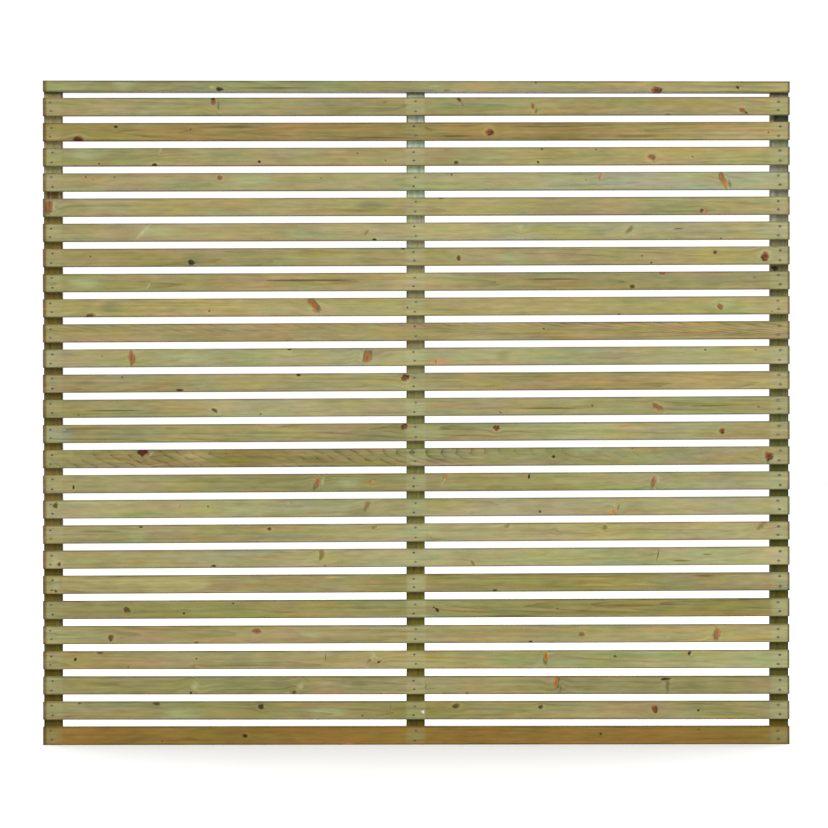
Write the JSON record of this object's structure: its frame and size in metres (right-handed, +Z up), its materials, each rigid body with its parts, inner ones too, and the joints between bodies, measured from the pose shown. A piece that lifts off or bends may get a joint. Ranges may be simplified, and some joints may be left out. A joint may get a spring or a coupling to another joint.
{
  "type": "slatted fence panel",
  "caption": "Flat garden fence panel of evenly spaced horizontal timber slats, nailed across upright battens under a flat cap rail, made to be fixed between two posts.",
  "frame": {"origin": "middle of the panel's underside", "axes": "+X along the slats to the right as seen from the slatted front, -Y out of the slatted front, +Z up"},
  "size_m": [1.8002, 0.044, 1.6],
  "materials": {
    "slat_timber": "planed, pressure-treated softwood, olive green to khaki, bare and dry",
    "batten_timber": "planed, pressure-treated softwood, darker and greyer, bare and dry",
    "cap_timber": "planed, pressure-treated softwood, grey-olive, bare and dry",
    "brad_steel": "dull galvanised wire"
  },
  "bodies": {
    "root": {"slat_01": "slat_timber", "slat_02": "slat_timber", "slat_03": "slat_timber", "slat_04": "slat_timber", "slat_05": "slat_timber", "slat_06": "slat_timber", "slat_07": "slat_timber", "slat_08": "slat_timber", "slat_09": "slat_timber", "slat_10": "slat_timber", "slat_11": "slat_timber", "slat_12": "slat_timber", "slat_13": "slat_timber", "slat_14": "slat_timber", "slat_15": "slat_timber", "slat_16": "slat_timber", "slat_17": "slat_timber", "slat_18": "slat_timber", "slat_19": "slat_timber", "slat_20": "slat_timber", "slat_21": "slat_timber", "slat_22": "slat_timber", "slat_23": "slat_timber", "slat_24": "slat_timber", "slat_25": "slat_timber", "slat_26": "slat_timber", "batten_left": "batten_timber", "batten_centre": "batten_timber", "batten_right": "batten_timber", "cap_rail": "cap_timber", "slat_brads_left": "brad_steel", "slat_brads_centre": "brad_steel", "slat_brads_right": "brad_steel", "cap_brads": "brad_steel"}
  },
  "joints": []
}
